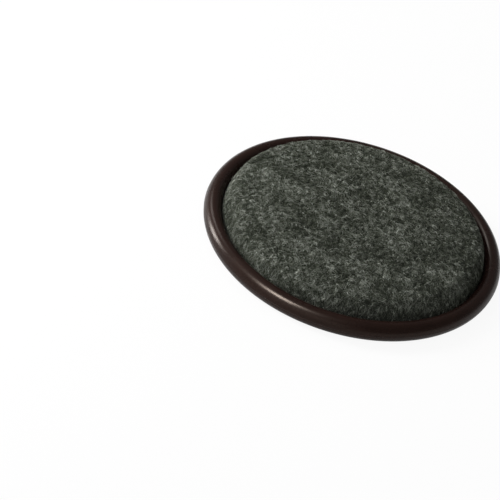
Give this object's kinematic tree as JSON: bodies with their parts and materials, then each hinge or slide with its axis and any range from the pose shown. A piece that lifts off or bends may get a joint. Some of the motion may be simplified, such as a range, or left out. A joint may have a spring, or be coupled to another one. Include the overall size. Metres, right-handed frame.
{
  "type": "caster cup",
  "caption": "Round moulded caster cup with a rounded rim bead, a domed grey needled carpet base and a rubber lined well that takes a furniture caster or leg.",
  "frame": {"origin": "centre of the rim plane that the cup lies on, carpet up as pictured", "axes": "+Z along the axis of revolution, out of the carpet; the well opens towards -Z; X and Y are free"},
  "size_m": [0.089, 0.089, 0.0124],
  "materials": {
    "moulded_brown_plastic": "dark brown injection moulded plastic, semi-gloss",
    "needled_grey_carpet": "charcoal and light grey needle-punched melange carpet",
    "hot_melt_film": "amber hot-melt adhesive film",
    "pressure_sensitive_film": "pale pressure-sensitive adhesive film",
    "black_rubber": "matt black moulded rubber with turned grip grooves"
  },
  "bodies": {
    "root": {"cup_shell": "moulded_brown_plastic", "carpet_pad": "needled_grey_carpet", "carpet_adhesive": "hot_melt_film", "liner_adhesive": "pressure_sensitive_film", "grip_liner": "black_rubber"}
  },
  "joints": []
}
